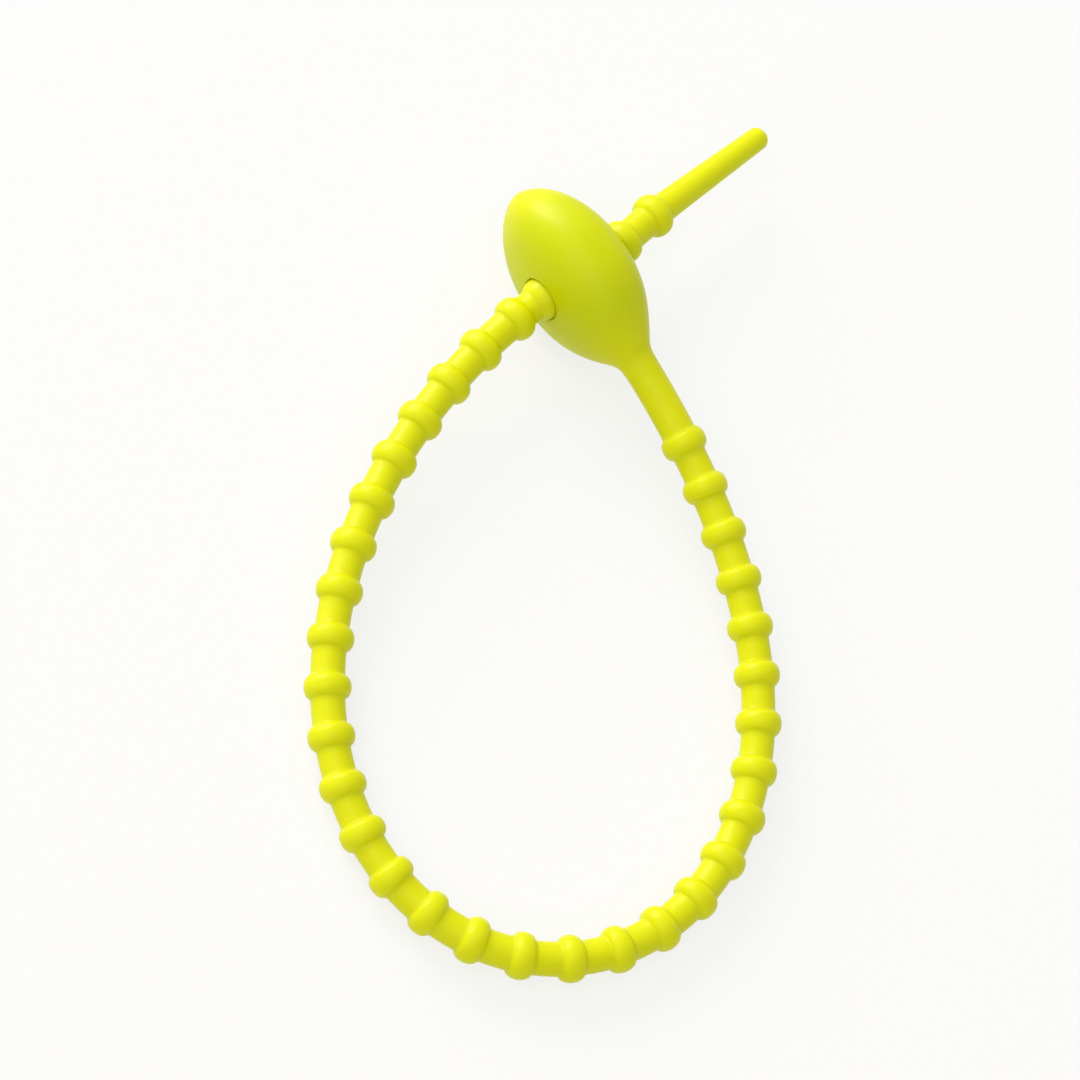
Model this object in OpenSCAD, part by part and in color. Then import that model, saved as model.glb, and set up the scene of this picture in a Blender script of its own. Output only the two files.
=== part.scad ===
// Reusable beaded cable tie, moulded in one piece of soft silicone and closed in a loop.
// X runs along the hole in the head, Y along the head from the neck to its blunt end, Z is up.
// The tie lies on a table: the head on its edge, the far side of the loop on its beads.

/* [Head] */
// Length of the head, from the root of the neck to the blunt end
head_len = 20.7; // [19:0.1:24]
// Thickness of the head, measured along the hole
head_thick = 9.9; // [9:0.1:11]
// Width of the head, measured across the hole
head_width = 14.9; // [12:0.1:17]
// Distance from the middle of the hole to the root of the neck
hole_to_neck = 10.1; // [9:0.1:12]
// Distance from the middle of the hole to the widest place of the head, towards the blunt end
widest = 0.3; // [0:0.1:0.8]
// How square the cross-section is: 2 is an ellipse, 4 nearly a rectangle
head_square = 2.4; // [2:0.1:3]
// How fast the head swells from the neck: 1 is a cone, more is fuller
neck_swell = 2.4; // [1.8:0.1:3]
// How blunt the far end is: 0.5 is an ellipse, 1 a parabola
head_blunt = 0.58; // [0.5:0.01:0.8]
// Size of the hollow blend between the head and the neck
neck_blend = 0.5; // [0.5:0.1:1.2]

/* [Hole] */
// Play between a bead and the hole, on each side
hole_gap = 0.1; // [0.1:0.05:0.3]
// Softened edge of the hole's two mouths
mouth_soft = 0.25; // [0.15:0.05:0.5]
// Play between the shank and the grip ring inside the hole, on each side
grip_play = 0.2; // [0.1:0.05:0.4]
// Play between the grip ring and the bead on each side of it
grip_end_play = 0.3; // [0.2:0.05:0.5]
// How far before the middle of the hole the last bead of the loop sits
bead_seat = 3.6; // [3.2:0.1:3.8]
// How far the tight mouth holds that bead back from its even place between the beads beside it
held_back = 0.4; // [0:0.1:0.6]

/* [Strap] */
// Diameter of the plain neck
neck_d = 3.6; // [3.4:0.1:4]
// Length of the neck, from its root to the middle of the first bead
neck_len = 10.2; // [8:0.1:14]
// Diameter of the shank between the beads
shank_d = 3.4; // [3:0.1:3.6]

/* [Beads] */
// Number of beads
bead_count = 35; // [32:1:40]
// Beads that are pulled through, past the grip ring
beads_through = 3; // [3:1:4]
// Distance from bead to bead
bead_pitch = 5; // [4.8:0.1:5.6]
// Diameter over a bead
bead_d = 4.7; // [4.5:0.1:5]
// Width of a bead at its foot
bead_w = 2.2; // [2:0.1:2.6]
// Width of the two beads that the tight hole squeezes
squeezed_w = 2.8; // [2.4:0.1:3]

/* [Tail] */
// Length of the pull tail, from the middle of the last bead to the tip
tail_len = 17.5; // [12:0.5:30]
// Diameter of the tail where it leaves the last bead
tail_d = 3.2; // [2.8:0.1:3.3]
// Diameter of the tail just before its rounded tip
tip_d = 2.5; // [2:0.1:2.7]
// Length of the rounded tip
tip_round = 1; // [0.6:0.1:1.4]

/* [Lay] */
// Length of strap over which it comes down from the head to the table
lift_run = 72; // [60:1:80]
// Turn of the strap to the side, beyond the first bead behind the grip ring
free_turn = 8; // [2:1:9]
// Turn of the tail to the side, from the direction of the hole
tail_turn = 5; // [2:1:8]
// Droop of the tail below the direction of the hole
tail_droop = 4; // [1:1:6]

/* [Hidden] */
$fn = 48;

// Rings and sides of the head's shell, and steps in the other curves
NECK_RINGS = 20;
BLUNT_RINGS = 14;
HEAD_SIDES = 48;
ROUTE_STEPS = 160;
SOLVE_STEPS = 24;
TIP_STEPS = 8;

// How far the head reaches over the neck, how far a bead's foot starts under the shank's skin,
// and how far each shank stops short of the middle of a bead, inside it
STUB = 1.7;
SUNK = 0.25;
SHORT = 0.5;

bead_r = bead_d / 2;
shank_r = shank_d / 2;
neck_r = neck_d / 2;
tip_r = tip_d / 2;
hole_r = bead_r + hole_gap;
grip_r = shank_r + grip_play;
axis_z = head_width / 2;
blunt_len = head_len - hole_to_neck;
loop_beads = bead_count - beads_through;

// The next bead sits behind the grip ring, which fills the room between the two
next_x = bead_pitch + held_back - bead_seat;
grip_w = next_x + bead_seat - squeezed_w - 2 * grip_end_play;
grip_x = (next_x - bead_seat) / 2;

// Where the hole's edge meets the head's face, which falls away from the middle
mouth_x = head_thick / 2 * pow(1 - pow(hole_r / axis_z, head_square), 1 / head_square);

function last(v) = v[len(v) - 1];
function unit(v) = v / norm(v);
function way(turn, droop) = [cos(droop) * cos(turn), cos(droop) * sin(turn), -sin(droop)];

// Point of a Bezier curve by repeated averaging of its handles
function blend(c, t) =
    len(c) == 1 ? c[0] : blend([for (i = [0:len(c) - 2]) c[i] * (1 - t) + c[i + 1] * t], t);

// Running sum that starts at 0
function running(v) = [for (i = 0, s = 0; i <= len(v); s = i < len(v) ? s + v[i] : s, i = i + 1) s];

function steps(p) = [for (i = [1:len(p) - 1]) norm(p[i] - p[i - 1])];

// Seen from above the loop is a Bezier curve from the root of the neck to the hole.
// Its handles are shares of one reach, which is solved so that the strap's length closes the loop.
function handles(reach) = [
    [0, -hole_to_neck],
    [0, -reach],
    [-0.88 * reach, -0.92 * reach],
    [-0.93 * reach, -0.15 * reach],
    [-0.26 * reach, 0],
    [-bead_seat, 0]
];

function curve(reach) = [for (i = [0:ROUTE_STEPS]) blend(handles(reach), i / ROUTE_STEPS)];

function close_at(length, low, high, n) =
    let (mid = (low + high) / 2)
    n == 0 ? mid
    : last(running(steps(curve(mid)))) > length ? close_at(length, low, mid, n - 1)
    : close_at(length, mid, high, n - 1);

// Distances along the strap from the root of the neck to the beads of the loop
stations = [
    0,
    for (i = [0:loop_beads - 1]) neck_len + i * bead_pitch - (i == loop_beads - 1 ? held_back : 0)
];
loop_len = last(stations);

// Height of the centre line: down from the head, along the table, and up to the hole
function height(s) =
    bead_r + (axis_z - bead_r) * pow(max(0, 1 - min(s, loop_len - s) / lift_run), 2);

// The same distances seen from above, where a sloping stretch is shorter
plan_steps = [
    for (i = [1:len(stations) - 1])
        sqrt(pow(stations[i] - stations[i - 1], 2) - pow(height(stations[i]) - height(stations[i - 1]), 2))
];
plan_stations = running(plan_steps);

reach = close_at(last(plan_stations), 0.3 * loop_len, 0.8 * loop_len, SOLVE_STEPS);
route = curve(reach);
route_run = running(steps(route));
route_x = [for (i = [0:ROUTE_STEPS]) [route_run[i], route[i][0]]];
route_y = [for (i = [0:ROUTE_STEPS]) [route_run[i], route[i][1]]];

// Joints of the strap: the root of the neck, the beads of the loop, then the beads pulled through
loop_points = [
    for (i = [0:len(stations) - 1])
        [lookup(plan_stations[i], route_x), lookup(plan_stations[i], route_y), height(stations[i])]
];
hole_point = [next_x, 0, axis_z];

function onward(p, k) =
    k == beads_through - 1 ? [p]
    : concat([p], onward(p + bead_pitch * way(free_turn, k + 1), k + 1));

points = concat(loop_points, onward(hole_point, 0));
tail_way = way(tail_turn, tail_droop);
tip = last(points) + tail_len * tail_way;

// The model's origin is under the middle of its box, at the level of the table
middle = [
    (min([for (p = points) p[0]]) - bead_r + tip[0]) / 2,
    (min([for (p = points) p[1]]) - bead_r + blunt_len) / 2,
    0
];

// Share of the head's full size at a place along it: 0 at the root, 1 at the widest place, 0 again
function share(y) =
    y < widest ? 1 - pow((widest - y) / (widest + hole_to_neck), neck_swell)
    : pow(1 - pow((y - widest) / (blunt_len - widest), 2), head_blunt);

// Half of the head's thickness or width. The square root rounds the corner where it meets the neck,
// and the rounding fades out towards the hole.
function half(y, full) =
    y >= widest ? full * share(y)
    : let (over = (full - neck_r) * share(y))
      let (ease = neck_blend * pow(min((widest - y) / (widest + hole_to_neck), 1), 2))
      neck_r + (over + sqrt(over * over + ease * ease)) / 2;

// Past the root, the head's middle follows the neck
neck_way = points[1] - points[0];
function centre(y) =
    [0, y, axis_z] + max(0, -hole_to_neck - y) * [neck_way[0], 0, neck_way[2]] / -neck_way[1];

function bow(c, square) = sign(c) * pow(abs(c), 2 / square);

function ring(y) =
    let (square = 2 + (head_square - 2) * max(0, y < widest ? share(y) : 1))
    [
        for (k = [0:HEAD_SIDES - 1])
            let (t = 360 * k / HEAD_SIDES)
            centre(y) + [
                half(y, head_thick / 2) * bow(cos(t), square),
                0,
                half(y, head_width / 2) * bow(sin(t), square)
            ]
    ];

head_places = [
    for (i = [0:NECK_RINGS - 1]) -(hole_to_neck + STUB) * (1 - i / NECK_RINGS),
    for (i = [0:BLUNT_RINGS - 1]) blunt_len * sin(90 * i / BLUNT_RINGS)
];

// Shell of the head: rings of superellipses from the neck to a pole at the blunt end
module head_shell() {
    n = HEAD_SIDES;
    rings = len(head_places);
    skin = [
        centre(head_places[0]),
        each [for (y = head_places) each ring(y)],
        [0, blunt_len, axis_z]
    ];
    pole = len(skin) - 1;
    function at(i, k) = 1 + i * n + k % n;
    faces = [
        for (k = [0:n - 1]) [0, at(0, k + 1), at(0, k)],
        for (i = [0:rings - 2], k = [0:n - 1]) [at(i, k), at(i, k + 1), at(i + 1, k)],
        for (i = [0:rings - 2], k = [0:n - 1]) [at(i, k + 1), at(i + 1, k + 1), at(i + 1, k)],
        for (k = [0:n - 1]) [pole, at(rings - 1, k), at(rings - 1, k + 1)]
    ];
    polyhedron(skin, faces);
}

// The hole: two bores that take a bead, the grip ring between them, and softened mouths
module hole() {
    out = mouth_x + 1;
    flare = hole_r + mouth_soft + 1;
    translate([0, 0, axis_z])
        rotate([0, 90, 0])
            rotate_extrude()
                polygon([
                    [0, -out], [flare, -out], [hole_r, mouth_soft - mouth_x],
                    [hole_r, grip_x - grip_w / 2], [grip_r, grip_x - grip_w / 2],
                    [grip_r, grip_x + grip_w / 2], [hole_r, grip_x + grip_w / 2],
                    [hole_r, mouth_x - mouth_soft], [flare, out], [0, out]
                ]);
}

module head() {
    difference() {
        head_shell();
        hole();
    }
}

// Puts its children at a point, with their Z axis turned to a direction
module aimed(p, d) {
    translate(p)
        rotate([0, acos(d[2] / norm(d)), atan2(d[1], d[0])])
            children();
}

// One bead: half an ellipse in profile, with two conical feet that start under the shank's skin.
// It is turned a quarter so that its seam doesn't fall on the shank's.
module bead(width) {
    foot = (width + SUNK) / 2;
    up = [
        [0, foot],
        [shank_r - SUNK, foot],
        for (t = [24:22:90]) [shank_r + (bead_r - shank_r) * sin(t), width / 2 * cos(t)]
    ];
    down = [for (i = [len(up) - 2:-1:0]) [up[i][0], -up[i][1]]];
    rotate([0, 0, 90])
        rotate_extrude()
            polygon(concat(up, down));
}

module tail() {
    straight = tail_len - tip_round;
    rotate_extrude()
        polygon([
            [0, SHORT],
            [tail_d / 2, SHORT],
            for (i = [0:TIP_STEPS - 1])
                let (t = 90 * i / TIP_STEPS)
                [tip_r * cos(t), straight + tip_round * sin(t)],
            [0, tail_len]
        ]);
}

// The shank that leads to a joint from the one before it. The first is the plain neck.
module shank(i) {
    start = i == 1 ? 0 : SHORT;
    aimed(points[i - 1], points[i] - points[i - 1])
        translate([0, 0, start])
            cylinder(h = norm(points[i] - points[i - 1]) - start - SHORT, r = i == 1 ? neck_r : shank_r);
}

// Shanks and beads from joint a up to joint b, joined in halves
module chain(a, b) {
    if (b - a == 1) {
        onwards = b < len(points) ? unit(points[b] - points[a]) : tail_way;
        squeezed = a == loop_beads || a == loop_beads + 1;
        shank(a);
        aimed(points[a], unit(points[a] - points[a - 1]) + onwards)
            bead(squeezed ? squeezed_w : bead_w);
    } else {
        union() {
            chain(a, floor((a + b) / 2));
            chain(floor((a + b) / 2), b);
        }
    }
}

module cable_tie() {
    color([0.78, 0.84, 0.03])
        translate(-middle) {
            head();
            chain(1, len(points));
            aimed(last(points), tail_way)
                tail();
        }
}

cable_tie();
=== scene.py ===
# %% [markdown]
# # A beaded cable tie in lime silicone
# The real thing is one piece of soft silicone, pressed in a two-part mould: a head with a hole,
# a plain neck, a strap with collars every few millimetres, and a thin tail to pull.
# Here it is closed in a loop and lies on a table.
#
# The CAD model gives the exact sizes and the place of every part. This script draws the same tie
# with flowing surfaces and a silicone finish. All shapes are worked out in millimetres, in the
# head's own frame, and are moved to the CAD model's frame at the end.

import bmesh
import bpy
import numpy as np
from mathutils import Matrix


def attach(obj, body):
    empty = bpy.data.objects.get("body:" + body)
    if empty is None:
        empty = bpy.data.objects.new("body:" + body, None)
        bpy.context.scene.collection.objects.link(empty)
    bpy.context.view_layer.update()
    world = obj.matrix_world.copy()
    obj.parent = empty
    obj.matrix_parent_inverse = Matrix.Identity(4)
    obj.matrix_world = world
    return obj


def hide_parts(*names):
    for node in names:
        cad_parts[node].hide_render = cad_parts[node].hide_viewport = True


MM = 0.001
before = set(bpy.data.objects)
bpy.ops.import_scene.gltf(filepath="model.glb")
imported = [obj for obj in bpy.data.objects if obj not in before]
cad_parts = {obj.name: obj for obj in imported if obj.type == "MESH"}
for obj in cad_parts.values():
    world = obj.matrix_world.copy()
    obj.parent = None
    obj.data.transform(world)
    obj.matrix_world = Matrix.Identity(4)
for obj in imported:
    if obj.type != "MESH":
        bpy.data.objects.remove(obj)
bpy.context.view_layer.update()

# %% [markdown]
# ## The sizes of the real tie
# They are the same few driving sizes as in the CAD source, except at the mouths of the hole. The
# CAD model keeps a gap of 0.1 mm there, so that its solids never touch, and has softer edges. Here
# the silicone is drawn closed round the bead, as it is in reality. Everything else follows from
# these sizes.

# %% Sizes in millimetres, and turns in degrees
HEAD_LEN, HEAD_THICK, HEAD_WIDTH = 20.7, 9.9, 14.9
HOLE_TO_NECK, WIDEST = 10.1, 0.3  # along the head, from the middle of the hole
HEAD_SQUARE, NECK_SWELL, HEAD_BLUNT = 2.4, 2.4, 0.58  # exponents of the head's outlines
NECK_BLEND = 0.5  # how softly the head runs out into the neck
HOLE_GAP, MOUTH_SOFT, GRIP_PLAY, GRIP_END_PLAY = 0.02, 0.15, 0.2, 0.3
BEAD_SEAT, HELD_BACK = 3.6, 0.4  # of the bead in the mouth: off the mould plane, off its pitch
NECK_D, NECK_LEN, SHANK_D = 3.6, 10.2, 3.4
BEAD_COUNT, BEADS_THROUGH, BEAD_PITCH = 35, 3, 5.0
BEAD_D, BEAD_W, SQUEEZED_W = 4.7, 2.2, 2.8
TAIL_LEN, TAIL_D, TIP_D, TIP_ROUND = 17.5, 3.2, 2.5, 1.0
LIFT_RUN = 72.0  # length of strap that slopes down to the table on each side of the head
FREE_TURN, TAIL_TURN, TAIL_DROOP = 8.0, 5.0, 4.0
SEAT_BEAD = BEAD_COUNT - BEADS_THROUGH - 1  # number of the bead in the mouth of the hole

AXIS_Z = HEAD_WIDTH / 2
BLUNT_LEN = HEAD_LEN - HOLE_TO_NECK
BEAD_R, SHANK_R, NECK_R = BEAD_D / 2, SHANK_D / 2, NECK_D / 2
HOLE_R, GRIP_R = BEAD_R + HOLE_GAP, SHANK_R + GRIP_PLAY
NEXT_X = BEAD_PITCH + HELD_BACK - BEAD_SEAT
GRIP_W = NEXT_X + BEAD_SEAT - SQUEEZED_W - 2 * GRIP_END_PLAY
GRIP_X = (NEXT_X - BEAD_SEAT) / 2
bead_places = NECK_LEN + BEAD_PITCH * np.arange(BEAD_COUNT)
bead_places[SEAT_BEAD] -= HELD_BACK
LOOP_LEN, LAST_BEAD = bead_places[[SEAT_BEAD, -1]]
bead_widths = np.full(BEAD_COUNT, BEAD_W)
bead_widths[SEAT_BEAD : SEAT_BEAD + 2] = SQUEEZED_W  # the two beads that the hole holds
TIP = LAST_BEAD + TAIL_LEN
print("whole tie, stretched out:", round(HEAD_LEN + TIP, 1), "mm")

# %% [markdown]
# ## The line that the silicone follows
# A soft strap bends evenly, so its middle is one smooth line. Distance along it, called *run*, is
# 0 at the root of the neck, negative inside the head, and largest at the tip of the tail.
#
# Seen from above, the loop is a Bezier curve. Its handles are shares of one reach, and the reach
# is found by halving an interval until the curve is as long as the strap. That is how a real
# strap behaves too: its length is fixed, and the loop takes the room that the length allows.

# %% Height and plan of the line
STEP = 0.05
EASE_NECK, EASE_HOLE = 2.0, 1.0  # half the length of the soft corner at each end of the slope
LOOP_HANDLES = np.array([[0, -1], [-0.88, -0.92], [-0.93, -0.15], [-0.26, 0]])  # in reaches
REACH_LOW, REACH_HIGH = 0.3, 0.8  # in lengths of the strap in the loop
PLAN_POINTS, HALVINGS = 4001, 30


def eased(distance, soft):
    """0 before the corner and the distance after it, with a parabola across the corner."""
    rounded = (distance + soft) ** 2 / (4 * soft)
    return np.where(distance < -soft, 0, np.where(distance > soft, distance, rounded))


def height(run):
    """Bead radius, plus the head's lift times the squared share of the way down that is left."""
    way = np.minimum(eased(run, EASE_NECK), eased(LOOP_LEN - run, EASE_HOLE))
    return BEAD_R + (AXIS_Z - BEAD_R) * np.clip(1 - way / LIFT_RUN, 0, 1) ** 2


def bezier(handles, t):
    """Neighbouring handles are averaged with weights 1 - t and t until one point is left."""
    points = np.repeat(handles[None], len(t), axis=0)
    share = t[:, None, None]
    while points.shape[1] > 1:
        points = points[:, :-1] * (1 - share) + points[:, 1:] * share
    return points[:, 0]


def along(points):
    """Distance run along a polyline, 0 at its first point."""
    return np.concatenate([[0], np.cumsum(np.linalg.norm(np.diff(points, axis=0), axis=1))])


def plan(reach):
    """The loop seen from above, from the root of the neck to the seat of the last loop bead."""
    handles = np.vstack([[0, -HOLE_TO_NECK], reach * LOOP_HANDLES, [-BEAD_SEAT, 0]])
    return bezier(handles, np.linspace(0, 1, PLAN_POINTS))


loop_run = np.arange(0, LOOP_LEN, STEP)
slope = np.gradient(height(loop_run), STEP)
plan_run = np.concatenate([[0], np.cumsum(np.sqrt(1 - slope[:-1] ** 2) * STEP)])
plan_len = plan_run[-1] + STEP

low, high = REACH_LOW * LOOP_LEN, REACH_HIGH * LOOP_LEN
for _ in range(HALVINGS):
    middle = (low + high) / 2
    low, high = (low, middle) if along(plan(middle))[-1] > plan_len else (middle, high)
loop_plan = plan(low)
print("reach of the loop:", round(low, 2), "mm")

# %% [markdown]
# The whole line is made of three stretches: straight through the head, round the loop, and out
# through the hole to the tail. The free end turns a little at its first and last bead, and
# droops, as a strap does that is held only in the hole. The CAD model's origin is under the
# middle of the tie's box, so the shift from the hole to that place is worked out here too.

# %% The whole line and its directions
FREE_DROOP = 2.0  # degrees, at the last bead
BEND_HALF, TAIL_BEND_BEFORE, TAIL_BEND_AFTER = 1.5, 1.0, 3.0

head_run = np.arange(-HEAD_LEN, 0, STEP)
head_line = np.stack([0 * head_run, -HOLE_TO_NECK - head_run, height(head_run)], axis=1)

loop_line = np.stack(
    [
        np.interp(plan_run, along(loop_plan), loop_plan[:, 0]),
        np.interp(plan_run, along(loop_plan), loop_plan[:, 1]),
        height(loop_run),
    ],
    axis=1,
)

free_run = np.arange(LOOP_LEN, TIP + STEP / 2, STEP)
first_free = bead_places[SEAT_BEAD + 1]
tail_bend = [LAST_BEAD - TAIL_BEND_BEFORE, LAST_BEAD + TAIL_BEND_AFTER]
turn_places = [first_free - BEND_HALF, first_free + BEND_HALF, *tail_bend]
turn = np.radians(np.interp(free_run, turn_places, [0, FREE_TURN, FREE_TURN, TAIL_TURN]))
droop_places = [first_free, LAST_BEAD, tail_bend[1]]
droop = np.radians(np.interp(free_run, droop_places, [0, FREE_DROOP, TAIL_DROOP]))
free_way = np.stack(
    [np.cos(droop) * np.cos(turn), np.cos(droop) * np.sin(turn), -np.sin(droop)], axis=1
)
seat = np.array([-BEAD_SEAT, 0, height(LOOP_LEN)])
free_line = seat + np.cumsum(free_way * STEP, axis=0) - free_way[0] * STEP
free_line[:, 2] += height(free_run) - height(LOOP_LEN)

line_run = np.concatenate([head_run, loop_run, free_run])
line = np.concatenate([head_line, loop_line, free_line])
line_way = np.gradient(line, line_run, axis=0)
line_way /= np.linalg.norm(line_way, axis=1, keepdims=True)

centre_shift = np.array(
    [
        (line[:, 0].min() - BEAD_R + line[-1, 0]) / 2,
        (line[:, 1].min() - BEAD_R + BLUNT_LEN) / 2,
        0,
    ]
)
print("tip of the tail at", np.round(line[-1], 1), "and origin at", np.round(centre_shift, 2))

# %% [markdown]
# ## The profile along the line
# Every cross-section is a superellipse: a circle for the strap, and a fuller shape, thin along
# the hole and wide across it, for the head. So the whole tie is one profile carried along one
# line, the way a soft moulding flows from head to tail without a joint.
#
# Two small forms are drawn here and not in the CAD model. Each bead runs into the shank through a
# little hollow, as moulded corners do. And the hole squeezes out the bead in its mouth, so that
# bead's outer half is longer, and no dark gap shows round it.

# %% Half-widths and squareness of the cross-section
FOOT_RISE, FOOT_RUN = 0.12, 0.25
MOUTH_FLARE = 2.1  # length of the outer half of the bead in the mouth


def head_share(y):
    """Share of the full size: a power of the distance left, from 1 at the hole to 0 at the end."""
    blunt = np.clip(1 - ((y - WIDEST) / (BLUNT_LEN - WIDEST)) ** 2, 0, 1) ** HEAD_BLUNT
    neck = 1 - (np.maximum(WIDEST - y, 0) / (WIDEST + HOLE_TO_NECK)) ** NECK_SWELL
    return np.where(y >= WIDEST, blunt, neck)


def head_half(y, full):
    """Full times the share, and towards the neck a hyperbola that rounds the inner corner."""
    over = (full - NECK_R) * head_share(y)
    ease = NECK_BLEND * np.clip((WIDEST - y) / (WIDEST + HOLE_TO_NECK), 0, 1) ** 2
    blended = NECK_R + (over + np.sqrt(over**2 + ease**2)) / 2
    return np.where(y >= WIDEST, full * head_share(y), blended)


def strap_radius(run):
    """Neck, shank or tapering tail, plus half an ellipse at each bead and a hollow by its foot."""
    taper = np.clip((run - LAST_BEAD) / (TAIL_LEN - TIP_ROUND), 0, 1)
    tail = (TAIL_D + (TIP_D - TAIL_D) * taper) / 2
    plain = np.where(run < NECK_LEN, NECK_R, np.where(run < LAST_BEAD, SHANK_R, tail))
    nearest = np.abs(run[..., None] - bead_places).argmin(axis=-1)
    off, reach = np.abs(run - bead_places[nearest]), bead_widths[nearest] / 2
    in_mouth = (nearest == SEAT_BEAD) & (run < bead_places[SEAT_BEAD])
    reach = np.where(in_mouth, MOUTH_FLARE, reach)
    collar = (BEAD_R - plain) * np.sqrt(np.clip(1 - (off / reach) ** 2, 0, 1))
    hollow = FOOT_RISE * np.clip(1 - np.abs(off - reach) / FOOT_RUN, 0, 1) ** 2
    tip = np.sqrt(np.clip(1 - (np.maximum(run - TIP + TIP_ROUND, 0) / TIP_ROUND) ** 2, 0, 1))
    return (plain + np.hypot(collar, hollow)) * tip


def section(run):
    """Half thickness, half width and exponent of the superellipse at each place on the line."""
    y = -HOLE_TO_NECK - run
    in_head = run < NECK_LEN - BEAD_W / 2 - FOOT_RUN
    half_thick = np.where(in_head, head_half(y, HEAD_THICK / 2), strap_radius(run))
    half_wide = np.where(in_head, head_half(y, HEAD_WIDTH / 2), strap_radius(run))
    fullness = np.where(y >= WIDEST, 1, np.clip(head_share(y), 0, 1))
    return half_thick, half_wide, np.where(in_head, 2 + (HEAD_SQUARE - 2) * fullness, 2)


def bow(c, exponent):
    """Signed power of a cosine or sine, which turns an ellipse into a superellipse."""
    return np.sign(c) * np.abs(c) ** (2 / exponent)


# %% [markdown]
# ## Where the rings go
# Rings are close together where the shape changes fast: at the blunt end, at the two feet of
# each bead and at the rounded tip. They are further apart on the plain stretches.

# %% Places of the rings
SIDES = 72
HOLE_HALF, HOLE_CELLS = 4.2, 12  # the window for the hole: half its length, and its rings
BLUNT_STEPS, NECK_STEPS, TAIL_STEPS, TIP_STEPS = 33, 45, 23, 9
FLANK_ANGLES = np.radians([75, 60, 46, 33, 21, 10, 0])  # up a bead's half ellipse, 0 at its foot
FOOT_SHARES = np.array([0.3, 0.6, 1])
FOOT_END = BEAD_W / 2 + FOOT_RUN

hole_angle = np.degrees(np.arcsin(HOLE_HALF / BLUNT_LEN))
blunt_angle = np.linspace(90, hole_angle, BLUNT_STEPS + 1)[1:-1]
blunt_runs = -HOLE_TO_NECK - BLUNT_LEN * np.sin(np.radians(blunt_angle))
hole_runs = -HOLE_TO_NECK + np.linspace(-HOLE_HALF, HOLE_HALF, HOLE_CELLS + 1)
neck_runs = np.linspace(-HOLE_TO_NECK + HOLE_HALF, NECK_LEN - FOOT_END, NECK_STEPS + 1)[1:-1]
flank = bead_widths[:, None] / 2 * np.cos(FLANK_ANGLES)
foot = bead_widths[:, None] / 2 + FOOT_RUN * FOOT_SHARES
crest = np.zeros((BEAD_COUNT, 1))
bead_sides = np.concatenate([-foot, -flank, crest, flank, foot], axis=1)
bead_sides[SEAT_BEAD] *= np.where(bead_sides[SEAT_BEAD] < 0, MOUTH_FLARE / (SQUEEZED_W / 2), 1)
bead_runs = (bead_places[:, None] + bead_sides).ravel()
gap_start = (bead_places + bead_widths / 2 + FOOT_RUN)[:-1, None]
gap_end = (bead_places - bead_widths / 2 - FOOT_RUN)[1:, None]
gap_runs = (gap_start + (gap_end - gap_start) * np.array([1, 2]) / 3).ravel()
tail_runs = np.linspace(LAST_BEAD + FOOT_END, TIP - TIP_ROUND, TAIL_STEPS + 1)[1:]
tip_angle = np.radians(np.linspace(0, 90, TIP_STEPS + 1)[1:-1])
tip_runs = TIP - TIP_ROUND + TIP_ROUND * np.sin(tip_angle)
ring_runs = np.sort(
    np.concatenate([blunt_runs, hole_runs, neck_runs, bead_runs, gap_runs, tail_runs, tip_runs])
)
print("rings:", len(ring_runs), "of", SIDES, "points")

# %% [markdown]
# ## The skin
# A ring stands square to the line. Its own left-right axis is level, and its up axis leans with
# the line, so the skin never twists.

# %% Rings as one grid of points
def at(run, values):
    """Values of the dense line, read at other places along it."""
    return np.stack([np.interp(run, line_run, values[:, i]) for i in range(3)], axis=1)


def rings(run):
    """Centre + side x half thickness x bow(cos) + up x half width x bow(sin).

    The sideways part is given too: it is the distance from the plane between the mould halves."""
    way = at(run, line_way)
    way /= np.linalg.norm(way, axis=1, keepdims=True)
    side = np.cross(way, [0, 0, 1])
    side /= np.linalg.norm(side, axis=1, keepdims=True)
    up = np.cross(side, way)
    thick, wide, exponent = (v[:, None] for v in section(run))
    angle = np.radians(np.arange(SIDES) * 360 / SIDES)[None]
    across = thick * bow(np.cos(angle), exponent)
    upward = wide * bow(np.sin(angle), exponent)
    sideways = side[:, None] * across[..., None]
    upwards = up[:, None] * upward[..., None]
    return at(run, line)[:, None] + sideways + upwards, across


grid, off_plane = rings(ring_runs)
count = len(ring_runs)
numbers = 1 + np.arange(count * SIDES).reshape(count, SIDES)
first_pole, last_pole = 0, 1 + count * SIDES

# %% [markdown]
# ## The hole
# A window of the skin is left out on each face of the head, and a tunnel joins the two windows.
# The tunnel's loops go from the window's square edge to a circle on the face, round the soft
# edge of the mouth, and along the bore, past the ring that grips the shank.

# %% Windows and tunnel
ROUND_STEPS, MOUTH_STEPS = 8, 4
half_cells = HOLE_CELLS // 2
first_ring = len(blunt_runs)
last_ring = first_ring + HOLE_CELLS
forward = np.arange(HOLE_CELLS)
still = np.zeros(HOLE_CELLS, dtype=int)
edge_ring = np.concatenate(
    [first_ring + forward, still + last_ring, last_ring - forward, still + first_ring]
)
edge_side = np.concatenate(
    [still - half_cells, forward - half_cells, still + half_cells, half_cells - forward]
)
edge_left = numbers[edge_ring, edge_side % SIDES]
edge_right = numbers[edge_ring, (SIDES // 2 - edge_side) % SIDES]
edge_yz = grid[edge_ring, edge_side % SIDES][:, 1:] - [0, AXIS_Z]
outward = edge_yz / np.linalg.norm(edge_yz, axis=1, keepdims=True)


def face_x(yz):
    """Height of the head's face over the mould plane: the superellipse solved for thickness."""
    thick, wide, exponent = section(-HOLE_TO_NECK - yz[..., 0])
    return thick * (1 - np.abs(yz[..., 1] / wide) ** exponent) ** (1 / exponent)


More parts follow.
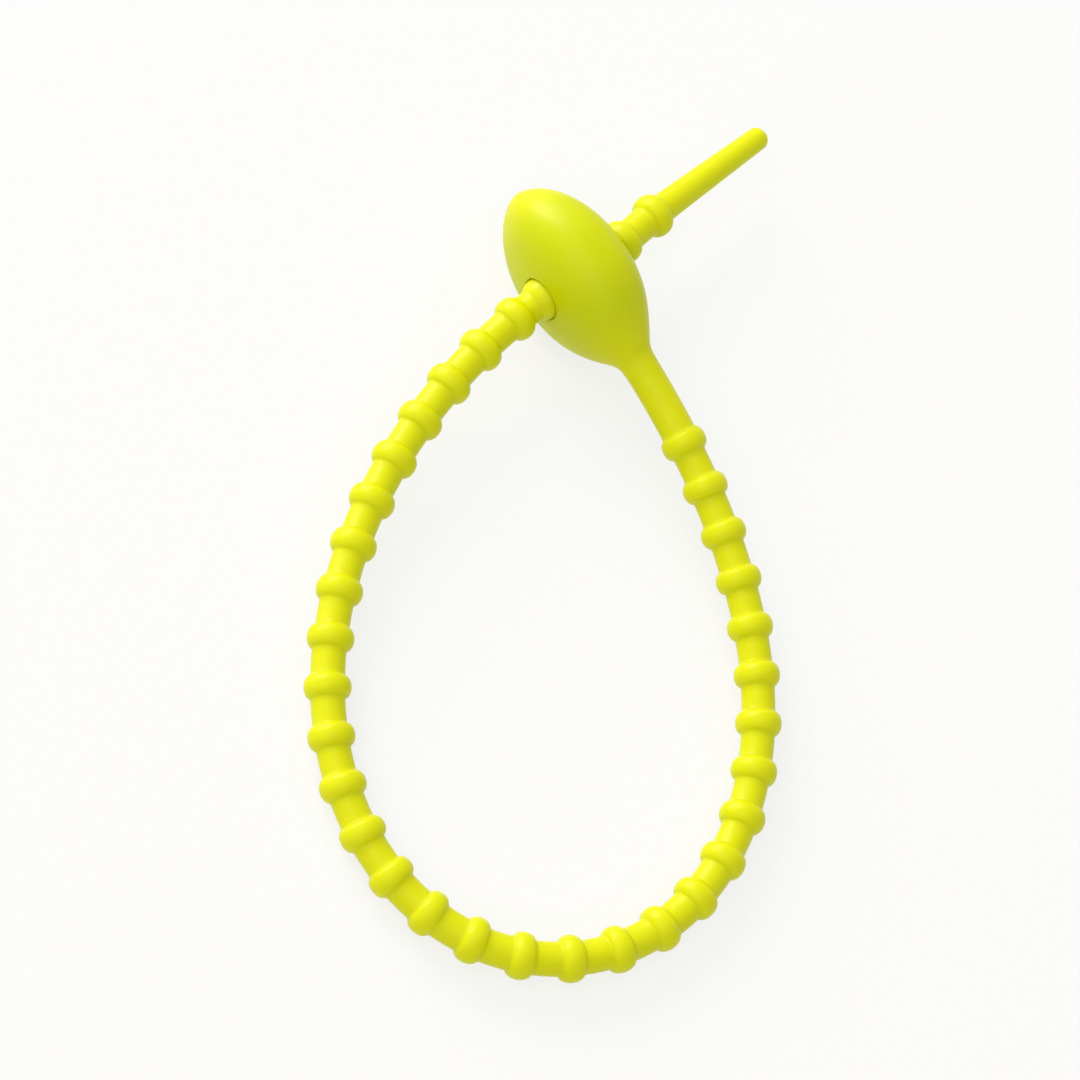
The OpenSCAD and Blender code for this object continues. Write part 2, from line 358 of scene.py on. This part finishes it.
def loop_at(radius, x):
    """A circle of points about the hole, all at one place along it or each at its own."""
    places = np.broadcast_to(x, (len(outward),))[:, None]
    return np.concatenate([places, outward * radius], axis=1)


share = np.linspace(0, 1, ROUND_STEPS + 1)[1:, None, None]
on_face = edge_yz * (1 - share) + outward * (HOLE_R + MOUTH_SOFT) * share
face_loops = np.concatenate([face_x(on_face)[..., None], on_face], axis=2)
rim_x = face_x(on_face)[-1]
mouth_angle = np.radians(np.linspace(0, 90, MOUTH_STEPS + 1)[1:])
mouth_loops = np.stack(
    [
        loop_at(HOLE_R + MOUTH_SOFT * (1 - np.sin(a)), rim_x - MOUTH_SOFT * (1 - np.cos(a)))
        for a in mouth_angle
    ]
)
half_tunnel = np.concatenate([face_loops, mouth_loops])
grip_low, grip_high = GRIP_X - GRIP_W / 2, GRIP_X + GRIP_W / 2
grip_profile = ((HOLE_R, grip_low), (GRIP_R, grip_low), (GRIP_R, grip_high), (HOLE_R, grip_high))
grip_loops = np.stack([loop_at(radius, x) for radius, x in grip_profile])
tunnel = np.concatenate([half_tunnel * [-1, 1, 1], grip_loops, half_tunnel[::-1]])
tunnel = tunnel + [0, 0, AXIS_Z]
loops, loop_points = tunnel.shape[:2]
tunnel_numbers = last_pole + 1 + np.arange(loops * loop_points).reshape(loops, loop_points)
tunnel_numbers = np.concatenate([edge_left[None], tunnel_numbers, edge_right[None]])
print("tunnel loops:", loops, "with", loop_points, "points")

# %% [markdown]
# ## One closed mesh
# The faces are index grids: each face joins two neighbours on one ring to the same two on the
# next. Fans close both poles.
#
# The skin carries two values for its material. *off_plane* is the distance from the plane between
# the mould halves, where moulded silicone shows a faint line. *thick_shade* says how thick the tie
# is there: 0 on the strap, rising to 1 in the fullest part of the head. It paints shade into the
# colour of the thick parts.

# %% Faces and the two values
DEEPEN = 1.5  # the painted shade is already full at two thirds of the way from bead to full thickness


def band_faces(index):
    """Quads between neighbouring rows of an index grid whose columns close on themselves."""
    turned = np.roll(index, -1, axis=1)
    return np.stack([index[:-1], index[1:], turned[1:], turned[:-1]], axis=-1)


skin_faces = band_faces(numbers)
row = np.arange(count - 1)[:, None]
column = np.arange(SIDES)[None]
in_rows = (row >= first_ring) & (row < last_ring)
in_left_window = (column + half_cells) % SIDES < HOLE_CELLS
in_right_window = (column + half_cells - SIDES // 2) % SIDES < HOLE_CELLS
skin_faces = skin_faces[~(in_rows & (in_left_window | in_right_window))]
tunnel_faces = band_faces(tunnel_numbers).reshape(-1, 4)
turned = np.roll(numbers, -1, axis=1)
first_fan = np.stack([np.full(SIDES, first_pole), numbers[0], turned[0]], axis=1)
last_fan = np.stack([np.full(SIDES, last_pole), turned[-1], numbers[-1]], axis=1)
faces = skin_faces.tolist() + tunnel_faces.tolist() + first_fan.tolist() + last_fan.tolist()

points = np.concatenate([line[:1], grid.reshape(-1, 3), line[-1:], tunnel.reshape(-1, 3)])
off_plane[ring_runs > NECK_LEN - BEAD_W] = HEAD_THICK  # far off: no line shows on the strap
off_points = np.concatenate([[0], off_plane.ravel(), [HEAD_THICK], tunnel[..., 0].ravel()])
half_thick = section(ring_runs)[0]
# painted shade: it grows with the thickness of each ring
ring_thick_shade = np.clip(DEEPEN * (half_thick - BEAD_R) / (HEAD_THICK / 2 - BEAD_R), 0, 1)
tunnel_thick_shade = np.ones(loops * loop_points)
thick_shade_points = np.concatenate([[0], np.repeat(ring_thick_shade, SIDES), [0], tunnel_thick_shade])
print("points:", len(points), "faces:", len(faces))

# %% The piece itself
mesh = bpy.data.meshes.new("cable_tie_skin")
mesh.from_pydata(((points - centre_shift) * MM).tolist(), [], faces)
mesh.validate()


def face_outwards(mesh):
    """Turns all faces of a closed mesh to point out of it, and measures the volume inside."""
    work = bmesh.new()
    work.from_mesh(mesh)
    bmesh.ops.recalc_face_normals(work, faces=work.faces)
    volume = work.calc_volume(signed=True)
    work.to_mesh(mesh)
    work.free()
    return volume


def open_edges(mesh):
    """How many edges don't join exactly two faces: none on a closed skin."""
    edge_numbers = np.empty(len(mesh.loops), dtype=np.int32)
    mesh.loops.foreach_get("edge_index", edge_numbers)
    return int((np.bincount(edge_numbers, minlength=len(mesh.edges)) != 2).sum())


volume = face_outwards(mesh)
mesh.polygons.foreach_set("use_smooth", [True] * len(mesh.polygons))
for name, values in (("off_plane", off_points), ("thick_shade", thick_shade_points)):
    attribute = mesh.attributes.new(name, "FLOAT", "POINT")
    attribute.data.foreach_set("value", values.astype(np.float32))
tie = bpy.data.objects.new("cable_tie_moulding", mesh)
bpy.context.scene.collection.objects.link(tie)
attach(tie, "root")
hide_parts("cable_tie")
print("open edges:", open_edges(mesh), "volume:", round(volume / MM**3), "mm3")

# %% [markdown]
# ## Silicone
# Silicone rubber is coloured right through. A little light goes in and comes out again nearby,
# which softens the shade on the thin strap. The head is painted deeper and greener than the strap:
# two limes are mixed by *thick_shade*. This is painted shade on the head, and painted light on the
# thin strap that light shines through. The mould was blasted, so the skin is satin: it has broad
# soft highlights and no sharp reflections.
#
# The line left between the mould halves is a low bump on the head, so faint that it hardly shows.

# %% Node helper and colours
def linear(hex_colour):
    """sRGB hex to the linear colour that Blender mixes in, with alpha 1."""
    srgb = [int(hex_colour[i : i + 2], 16) / 255 for i in (1, 3, 5)]
    return tuple(c / 12.92 if c <= 0.04045 else ((c + 0.055) / 1.055) ** 2.4 for c in srgb) + (1,)


def add_node(tree, kind, settings=None, **inputs):
    """Adds a node, applies its settings, and sets or links its inputs.

    An input is given by its name with _ for each space, or by i and its number."""
    node = tree.nodes.new(kind)
    for name, value in (settings or {}).items():
        setattr(node, name, value)
    for name, value in inputs.items():
        numbered = name[0] == "i" and name[1:].isdigit()
        socket = node.inputs[int(name[1:]) if numbered else name.replace("_", " ")]
        if isinstance(value, bpy.types.NodeSocket):
            tree.links.new(value, socket)
        else:
            socket.default_value = value
    return node


# %% Satin silicone
# painted shade: the thin strap gets the lighter lime, the thick head the darker one
LIME_THIN_LIT, LIME_THICK_SHADED = "#DCDE00", "#CED600"
SILICONE_IOR = 1.41
SATIN_ROUGHNESS, SATIN_GLEAM = 0.38, 0.25
MILKINESS, LIGHT_DEPTH_MM = 0.6, 1.5  # share of the light that goes in, and how deep it goes
LIGHT_SPREAD = (0.9, 1.0, 0.15)  # red and green go far in a lime pigment, blue is taken up
GRAIN_MM, GRAIN_DEEP_MM, GRAIN_SHOWS = 0.25, 0.02, 0.05  # coarser than a blasted grain, to show
LINE_HALF_MM, LINE_HIGH_MM, LINE_SHOWS = 0.14, 0.05, 0.2


def satin_silicone():
    """Lime silicone with painted shade that makes it deeper where thick, a fine grain and a faint
    parting line.
    """
    material = bpy.data.materials.new("satin_lime_silicone")
    material.use_nodes = True
    tree = material.node_tree
    tree.nodes.clear()
    place = add_node(tree, "ShaderNodeTexCoord").outputs["Object"]
    # painted shade, mixed into the colour by thickness
    thick_shade = add_node(tree, "ShaderNodeAttribute", {"attribute_name": "thick_shade"})
    colour = add_node(
        tree, "ShaderNodeMix", {"data_type": "RGBA"}, i0=thick_shade.outputs["Fac"],
        i6=linear(LIME_THIN_LIT), i7=linear(LIME_THICK_SHADED),
    )
    grain = add_node(
        tree, "ShaderNodeTexNoise", Vector=place, Scale=1 / (GRAIN_MM * MM), Detail=3.0
    )
    grain_bump = add_node(
        tree, "ShaderNodeBump", Strength=GRAIN_SHOWS, Distance=GRAIN_DEEP_MM * MM,
        Height=grain.outputs["Fac"],
    )
    off = add_node(tree, "ShaderNodeAttribute", {"attribute_name": "off_plane"})
    away = add_node(tree, "ShaderNodeMath", {"operation": "ABSOLUTE"}, i0=off.outputs["Fac"])
    ridge = add_node(
        tree, "ShaderNodeMapRange", {"interpolation_type": "SMOOTHSTEP"}, i0=away.outputs[0],
        i1=0.0, i2=LINE_HALF_MM, i3=1.0, i4=0.0,
    )
    ridge_bump = add_node(
        tree, "ShaderNodeBump", Strength=LINE_SHOWS, Distance=LINE_HIGH_MM * MM,
        Height=ridge.outputs[0], Normal=grain_bump.outputs[0],
    )
    skin = add_node(
        tree, "ShaderNodeBsdfPrincipled", {"subsurface_method": "RANDOM_WALK"},
        Base_Color=colour.outputs[2], Roughness=SATIN_ROUGHNESS, IOR=SILICONE_IOR,
        Specular_IOR_Level=SATIN_GLEAM, Subsurface_Weight=MILKINESS,
        Subsurface_Radius=LIGHT_SPREAD, Subsurface_Scale=LIGHT_DEPTH_MM * MM,
        Normal=ridge_bump.outputs[0],
    )
    add_node(tree, "ShaderNodeOutputMaterial", Surface=skin.outputs[0])
    print("silicone nodes:", len(tree.nodes))
    return material


mesh.materials.append(satin_silicone())

# %% [markdown]
# ## Camera
# The camera looks down on the tie, turned so that the loop hangs to the lower left, as in the
# photograph. Its place is worked out for a square picture of 1080 pixels, from its distance, the
# size of a millimetre at the target, and three turns.

# %% Camera
PICTURE, SENSOR = 1080, 36
CAM_DISTANCE, CAM_PIXELS_PER_MM = 387.0, 9.948
TILT, ROLL, HEADING = np.radians([26.69, 49.4, 14.92])
TARGET = np.array([-18.40, -20.03, 2.5])  # in the head's frame, near the middle of the loop

ahead = np.array([np.cos(HEADING), np.sin(HEADING), 0])
looking = np.cos(TILT) * np.array([0, 0, -1]) + np.sin(TILT) * ahead
far_up = np.cos(TILT) * ahead + np.sin(TILT) * np.array([0, 0, 1])
level_right = np.cross(looking, far_up)
picture_right = np.cos(ROLL) * far_up + np.sin(ROLL) * level_right
picture_up = np.sin(ROLL) * far_up - np.cos(ROLL) * level_right
target = (TARGET - centre_shift) * MM
eye = target - looking * CAM_DISTANCE * MM


def placed(position, right, up, backward):
    """World matrix of an object with these three axes at this place."""
    axes = np.stack([right, up, backward, position], axis=1)
    return Matrix(np.vstack([axes, [0, 0, 0, 1]]).tolist())


camera_data = bpy.data.cameras.new("camera")
camera_data.sensor_width = SENSOR
camera_data.lens = SENSOR * CAM_PIXELS_PER_MM * CAM_DISTANCE / PICTURE
camera_data.clip_start, camera_data.clip_end = 0.01, 20
camera = bpy.data.objects.new("camera", camera_data)
camera.matrix_world = placed(eye, picture_right, picture_up, -looking)
bpy.context.scene.collection.objects.link(camera)
bpy.context.scene.camera = camera
print("lens:", round(camera_data.lens, 1), "mm, eye at", np.round(eye / MM))

# %% [markdown]
# ## Floor
# In the photograph the ground is pure white, with hardly a shadow. A matt floor alone would be
# grey in the shade. So what looks straight at the floor sees it three quarters glowing, and what
# is lit by it gets the light of plain matt white, which keeps the underside of the tie in shade.

# %% Pale floor
FLOOR_HALF = 1.5  # metres
MATT_WHITE, GLOW_SHARE = 0.86, 0.75


def looked_at(tree):
    """1 for rays that show the surroundings: from the camera, in a mirror or through glass."""
    path = add_node(tree, "ShaderNodeLightPath").outputs
    mirror_or_glass = add_node(
        tree, "ShaderNodeMath", {"operation": "MAXIMUM"},
        i0=path["Is Glossy Ray"], i1=path["Is Transmission Ray"],
    )
    shown = add_node(
        tree, "ShaderNodeMath", {"operation": "MAXIMUM"},
        i0=path["Is Camera Ray"], i1=mirror_or_glass.outputs[0],
    )
    return shown.outputs[0]


def pale_floor():
    """A matt white floor. What looks at it directly sees it part lit and part glowing, so it is
    white but keeps a soft shadow. The light that it sends on is that of plain matt white."""
    material = bpy.data.materials.new("matt_white_floor")
    material.use_nodes = True
    tree = material.node_tree
    tree.nodes.clear()
    matt = add_node(tree, "ShaderNodeBsdfDiffuse", Color=(MATT_WHITE, MATT_WHITE, MATT_WHITE, 1))
    glow = add_node(tree, "ShaderNodeEmission", Color=(1, 1, 1, 1), Strength=1.0)
    part = add_node(
        tree, "ShaderNodeMath", {"operation": "MULTIPLY"}, i0=looked_at(tree), i1=GLOW_SHARE
    )
    both = add_node(
        tree, "ShaderNodeMixShader", i0=part.outputs[0], i1=matt.outputs[0], i2=glow.outputs[0]
    )
    add_node(tree, "ShaderNodeOutputMaterial", Surface=both.outputs[0])
    floor_mesh = bpy.data.meshes.new("floor")
    corners = FLOOR_HALF * np.array([(-1, -1, 0), (1, -1, 0), (1, 1, 0), (-1, 1, 0)])
    floor_mesh.from_pydata(corners.tolist(), [], [(0, 1, 2, 3)])
    floor_mesh.materials.append(material)
    return bpy.data.objects.new("floor", floor_mesh)


floor = pale_floor()
bpy.context.scene.collection.objects.link(floor)

# %% [markdown]
# ## Light
# The light is that of a small photo studio: white walls, a key lamp from the picture's upper left,
# and a large lamp by the camera that fills the shade. The strengths were chosen so that the head
# and the strap come out as bright as in the photograph. A third lamp lights nothing and shows only
# in reflections, where it makes the soft highlight on the upper left of the head.

# %% Soft lamps and white surroundings
LAMP_COLOUR = "#FFFBF2"
LAMP_DISTANCE = 1.5  # metres
WALL_LIGHT, WALL_LOOK = 0.48, 1.0  # how bright the walls are as light, and when looked at


def soft_lamp(name, right, up, back, size, power):
    """A square lamp that faces the target from right, up and back, as seen in the picture.

    Its size is in metres and its power in watts."""
    direction = right * picture_right + up * picture_up - back * looking
    direction = direction / np.linalg.norm(direction)
    side = np.cross([0, 1, 0], direction)
    side /= np.linalg.norm(side)
    data = bpy.data.lights.new(name, "AREA")
    data.shape, data.size, data.energy = "SQUARE", size, power
    data.color = linear(LAMP_COLOUR)[:3]
    lamp = bpy.data.objects.new(name, data)
    position = target + direction * LAMP_DISTANCE
    lamp.matrix_world = placed(position, side, np.cross(direction, side), direction)
    bpy.context.scene.collection.objects.link(lamp)
    return lamp


soft_lamp("key_lamp", right=-0.35, up=1, back=0.3, size=0.9, power=17.0)
highlight = soft_lamp("highlight_lamp", right=-0.62, up=0.8, back=0, size=1.0, power=15.0)
highlight.visible_diffuse = False
soft_lamp("front_lamp", right=-0.15, up=0.1, back=1, size=1.6, power=9.5)

world = bpy.data.worlds.new("studio")
bpy.context.scene.world = world
world.use_nodes = True
sky = world.node_tree
sky.nodes.clear()
strength = add_node(
    sky, "ShaderNodeMapRange", i0=looked_at(sky), i1=0.0, i2=1.0, i3=WALL_LIGHT, i4=WALL_LOOK
)
studio = add_node(sky, "ShaderNodeBackground", Color=(1, 1, 1, 1), Strength=strength.outputs[0])
add_node(sky, "ShaderNodeOutputWorld", Surface=studio.outputs[0])

# %% Finish
bpy.context.scene.view_settings.view_transform = "Standard"
